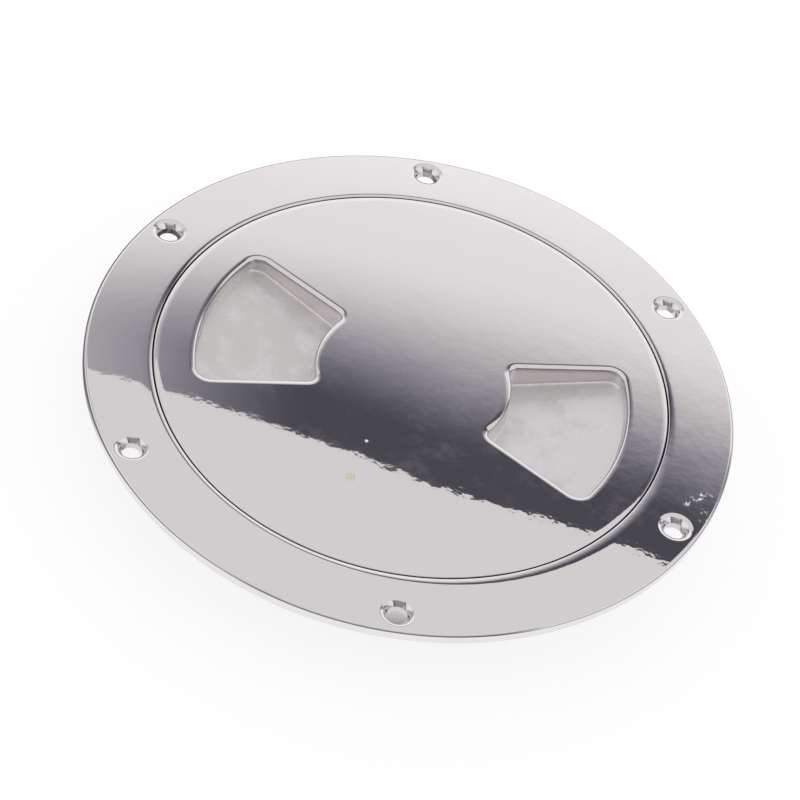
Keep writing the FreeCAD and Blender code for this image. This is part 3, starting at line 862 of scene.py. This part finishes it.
def pocket_levels():
    """Levels of a pocket: rolled-off face, rounded lip, wall, and the round that meets the floor."""
    width, depth = MOUTH_ROLL
    levels = [(POCKET, LIP_ROUND + width + GUARD, FACE, 0)]
    for share in np.linspace(0, 1, 7):
        levels.append((POCKET, LIP_ROUND + width * (1 - share), FACE - depth * share**2, 0))
    for angle in quarter(11)[1:]:
        down = LIP_ROUND * (1 - math.cos(angle)) + depth
        levels.append((POCKET, LIP_ROUND * (1 - math.sin(angle)), FACE - down, 0))
    for angle in quarter(9):
        up = FLOOR_ROUND * (1 - math.sin(angle))
        levels.append((POCKET, -FLOOR_ROUND * (1 - math.cos(angle)), up, 1))
    levels.append((POCKET, -FLOOR_ROUND - GUARD, 0, 1))
    return levels


def boss_levels():
    """Levels of a boss under a pocket. It starts inside the metal, and its outer end lies in the skirt."""
    drop = -BOSS_WALL / math.cos(math.atan(FLOOR_SLOPE))
    levels = [(BOSS_MOUTH, 0, DISC_UNDER, 0), (BOSS, 0, DISC_UNDER + BOSS_SEAT, 0)]
    for angle in quarter(9):
        inset, up = BOSS_ROUND * (1 - math.cos(angle)), BOSS_ROUND * (1 - math.sin(angle))
        levels.append((BOSS, -inset, drop + up, 1))
    levels.append((BOSS, -BOSS_ROUND - GUARD, drop, 1))
    return levels


pocket = stack_of(pocket_levels())
boss = stack_of(boss_levels())
print("a pocket has", len(pocket), "levels and its boss", len(boss))

# %% [markdown]
# The lid is one casting too: a flush disc with its two pockets, a neck that carries the O-ring, and a
# skirt with the outer thread. It is built as the ring was, from profiles carried round the axis, and the
# flats between them are filled with flat triangles, so that a straight reflection crosses it unbroken.

# %% Build the lid
LID_TURN = math.radians(-12.8)
LID_ROUND = 0.35
LID_GROWN = 0.08
LID_EDGE = LID_RADIUS / MM + LID_GROWN
LID_ROLL = (1.0, 0.025)
ROUND_START = (0.01, 0.002)
ROUND_SHY = 0.06
RIM_UNDER = seal_high.z / MM
NECK_RADIUS = 53.81
NECK_FOOT = -1.1
NECK_ROUND = 0.1
SKIRT_RADIUS = 51.6
SKIRT_FOOT = -11.5
SKIRT_INSIDE = 49.0
SKIRT_CHAMFER = 0.6
ROOT_ROUND = 1.5
LID_RIDGE_START = -9.542
LID_RIDGE_RISE = 7.046

lid_edge = LID_EDGE - LID_ROUND
lid_sunk = FACE - LID_ROLL[1]
lid_guard = lid_edge - LID_ROLL[0] - GUARD
under_edge = SKIRT_INSIDE - ROOT_ROUND - GUARD
lid_thread = thread_rows(
    SKIRT_RADIUS, 1, LID_RIDGE_START, LID_RIDGE_RISE, SKIRT_FOOT + SKIRT_CHAMFER, NECK_FOOT,
    start_turn=LID_TURN,
)
body = carried_round(
    np.array([[lid_guard, FACE]]),
    rolled_off(lid_edge, 1, LID_ROLL, FACE),
    rounded([
        (lid_edge + ROUND_START[0], lid_sunk - ROUND_START[1], 0),
        (LID_EDGE, lid_sunk - ROUND_START[0], LID_ROUND - ROUND_SHY),
        (LID_EDGE, RIM_UNDER, NECK_ROUND), (NECK_RADIUS, RIM_UNDER, NECK_ROUND),
        (NECK_RADIUS, NECK_FOOT, NECK_ROUND), (SKIRT_RADIUS, NECK_FOOT, 0),
    ]),
    tuple(rows[::-1] for rows in lid_thread),
    rounded([
        (SKIRT_RADIUS, SKIRT_FOOT + SKIRT_CHAMFER, 0), (SKIRT_RADIUS - SKIRT_CHAMFER, SKIRT_FOOT, 0),
        (SKIRT_INSIDE + SKIRT_CHAMFER, SKIRT_FOOT, 0), (SKIRT_INSIDE, SKIRT_FOOT + SKIRT_CHAMFER, 0),
        (SKIRT_INSIDE, DISC_UNDER, ROOT_ROUND), (under_edge, DISC_UNDER, 0),
    ]),
)
pockets = [turned_about(pocket, LID_TURN), turned_about(pocket, LID_TURN + math.pi)]
bosses = [turned_about(boss, LID_TURN), turned_about(boss, LID_TURN + math.pi)]
sheets = [
    flat_sheet(loop_at(lid_guard, FACE), [grid[0, :-1] for grid in pockets]),
    flat_sheet(loop_at(under_edge, DISC_UNDER), [grid[0, :-1] for grid in bosses]),
]
sheets += [flat_sheet(grid[-1, :-1]) for grid in pockets + bosses]
lid = piece_of("screw_lid", [body, *pockets, *bosses], sheets, lid_steel)
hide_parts("lid")
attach(lid, "lid")

# %% [markdown]
# A mirror shows its room, so the room is half of how polished steel looks. Cards could be hung round the
# plate for this, but a world that is worked out from the direction of a ray does it for every view at
# once, and its edges stay sharp. Angles are in degrees: elevation above the horizon, and heading, which is
# 0 along +Y.

# %% Directions in the studio
DEGREES = 180 / math.pi

world = bpy.data.worlds.new("studio")
bpy.context.scene.world = world
sky = Recipe(world)
east, north, height = sky.parts(sky.flow("ShaderNodeTexCoord", output="Generated"))
elevation = sky.reckon("ARCSINE", height) * DEGREES
heading = sky.reckon("ARCTAN2", east, north) * DEGREES
print("studio knows elevation and heading")

# %% [markdown]
# In the photograph the face shows three things, one above the other: a bright panel overhead that ends in
# a sharp edge, a dark gap under it, and a white wall that comes out of the gap softly. The edge climbs a
# little with the heading. The gap is darkest just right of straight ahead, and fills with light to both
# sides. The wall is brightest low down, and falls off again near the horizon.

# %% Panel, gap and wall
PANEL_LIGHT = 0.96
PANEL_EDGE = 46.65
PANEL_TILT = 0.105
PANEL_EDGE_TOP = 47.55
PANEL_EDGE_DIP = 0.6
EDGE_SOFTNESS = 0.02
GAP_DARK = 0.10
GAP_LEFT = 0.65
GAP_AWAY = 0.8
GAP_DARKENS = (-7.0, 4.0)
GAP_AHEAD = 6.0
GAP_FILLS = (14.0, 50.0)
AWAY_SHADE = 0.12
WALL_FROM_EDGE = 0.9
WALL_FULL = 42.3
WALL_CREST = 39.5
WALL_LIGHT = 1.1
WALL_CREST_LIGHT = 1.27
SIDE_BAND = (37.0, 20.0)
SIDE_LIGHT = 1.3
HORIZON_BAND = (22.0, 5.0)
HORIZON_LIGHT = 0.25

edge = sky.reckon("MINIMUM", PANEL_EDGE + heading * PANEL_TILT, PANEL_EDGE_TOP)
edge = sky.reckon("MAXIMUM", edge, PANEL_EDGE - PANEL_EDGE_DIP)
gap = sky.ease(heading, *GAP_DARKENS, GAP_LEFT, GAP_DARK)
away = sky.ease(sky.reckon("ABSOLUTE", heading - GAP_AHEAD), *GAP_FILLS)
gap = gap + (GAP_AWAY - gap) * away
wall_share = sky.ease(elevation, edge - WALL_FROM_EDGE, WALL_FULL)
wall = WALL_LIGHT + (WALL_CREST_LIGHT - WALL_LIGHT) * sky.ease(elevation, WALL_FULL, WALL_CREST)
wall = wall + (SIDE_LIGHT - WALL_CREST_LIGHT) * sky.ease(elevation, *SIDE_BAND)
wall = wall + (HORIZON_LIGHT - SIDE_LIGHT) * sky.ease(elevation, *HORIZON_BAND)
wall = wall * (1 - AWAY_SHADE * away)
below = gap + (wall - gap) * wall_share
panel_share = sky.ease(elevation - edge, -EDGE_SOFTNESS, EDGE_SOFTNESS)
light = below + (PANEL_LIGHT - below) * panel_share
print("panel ends at", PANEL_EDGE, "degrees, wall is full at", WALL_FULL)

# %% [markdown]
# Steel in an all-white room looks like plaster. So a dim screen stands behind the camera, and darkens the
# flanks of the countersinks that face it, and the room has four dim corners, so that the steel has
# something to mirror from every side. They lean and fade, because an upright hard edge would cut the plate
# in two when it is seen from the side. Light is warmer where the screen is, and violet in the gap.

# %% Dim screen and corners
SCREEN_REACH = (34, 52)
SCREEN_FOOT = (4, 14)
SCREEN_TOP = (38, 46)
SCREEN_SHADE = 0.66
SCREEN_TONE = (1.04, 0.98, 0.95, 1.0)
CORNER_APART = 90
CORNER_HEADING = 45.0
CORNER_LEVEL = 30
CORNER_LEAN = 0.8
CORNER_ENDS = (0.03, 0.22)
CORNER_STARTS = (0.96, 1.0)
CORNER_SHADE = 0.7
PANEL_TONE = (1.0, 0.98, 0.985, 1.0)
GAP_TONE = (0.975, 0.95, 1.13, 1.0)
TONE_CHANGES = (0.1, 0.8)

from_behind = 180 - sky.reckon("ABSOLUTE", heading)
screen = (1 - sky.ease(from_behind, *SCREEN_REACH)) * sky.ease(elevation, *SCREEN_FOOT)
screen = screen * (1 - sky.ease(elevation, *SCREEN_TOP))
light = light * (1 - SCREEN_SHADE * screen)
leaned = heading - CORNER_HEADING + (elevation - CORNER_LEVEL) * CORNER_LEAN
along_wall = sky.reckon("FRACT", leaned / CORNER_APART)
corner_ends = 1 - sky.ease(along_wall, *CORNER_ENDS)
corner = sky.reckon("MAXIMUM", corner_ends, sky.ease(along_wall, *CORNER_STARTS))
light = light * (1 - CORNER_SHADE * corner * (1 - panel_share))
tone = sky.blend(sky.ease(light, *TONE_CHANGES), GAP_TONE, PANEL_TONE)
tone = sky.blend(screen, tone, SCREEN_TONE)
print("corners every", CORNER_APART, "degrees from", CORNER_HEADING)

# %% [markdown]
# The photograph's own background is plain white. The Light Path node tells a ray that comes from the camera
# from one that left a surface, so the camera sees white while the steel sees the studio.

# %% Light the studio
WHITE = (1, 1, 1, 1)

rays = sky.make("ShaderNodeLightPath")
seen = Flow(sky, rays.outputs["Is Camera Ray"])
studio_light = sky.flow("ShaderNodeBackground", {}, {"Color": tone, "Strength": light})
white = sky.flow("ShaderNodeBackground", {}, {"Color": WHITE, "Strength": 1.0})
shown = sky.flow("ShaderNodeMixShader", {}, {0: seen, 1: studio_light, 2: white})
sky.make("ShaderNodeOutputWorld", {}, {"Surface": shown})
print("studio is lit from all round")

# %% [markdown]
# The plate lies on a white table, on the foot of its collar. The table is far wider than the view, and
# for the camera and for mirrors most of its white is its own, so that it reads as white paper while the
# plate's soft shadow still shows on it. Under the plate it is plain paper, so that the open hatch is dim,
# and mirrors see none of that light on the left, which lines the plate's left rim with a dark edge.

# %% The table
TABLE_HALF = 0.3
TABLE_OWN_LIGHT = 0.8
TABLE_PAPER = (0.24, 0.24, 0.24, 1.0)
COVERED_PAPER = (0.8, 0.8, 0.8, 1.0)
COVERED = (54 * MM, 60 * MM)
DIM_SIDE = (-78 * MM, -52 * MM)
DIM_SLANT = 0.8
table_corners = [(-1, -1), (1, -1), (1, 1), (-1, 1)]
table_mesh = bpy.data.meshes.new("table")
table_mesh.from_pydata(
    [(x * TABLE_HALF, y * TABLE_HALF, FOOT_Z) for x, y in table_corners], [], [(0, 1, 2, 3)]
)
table = bpy.data.objects.new("table", table_mesh)
bpy.context.scene.collection.objects.link(table)
paper = bpy.data.materials.new("paper")
recipe = Recipe(paper)
rays = recipe.make("ShaderNodeLightPath")
x, y = recipe.parts(recipe.place())[:2]
lit_side = recipe.ease(x - y * DIM_SLANT, *DIM_SIDE)
mirrored = Flow(recipe, rays.outputs["Is Glossy Ray"]) * lit_side
watched = recipe.reckon("MAXIMUM", Flow(recipe, rays.outputs["Is Camera Ray"]), mirrored)
open_table = recipe.ease((x * x + y * y) ** 0.5, *COVERED)
paper_colour = recipe.blend(open_table, COVERED_PAPER, TABLE_PAPER)
own_light = watched * open_table * TABLE_OWN_LIGHT
matt = recipe.flow("ShaderNodeBsdfDiffuse", {}, {"Color": paper_colour})
own = recipe.flow("ShaderNodeEmission", {}, {"Color": WHITE, "Strength": own_light})
both = recipe.flow("ShaderNodeAddShader", {}, {0: matt, 1: own})
recipe.make("ShaderNodeOutputMaterial", {}, {"Surface": both})
table_mesh.materials.append(paper)
print("table at", round(FOOT_Z / MM, 2), "mm")
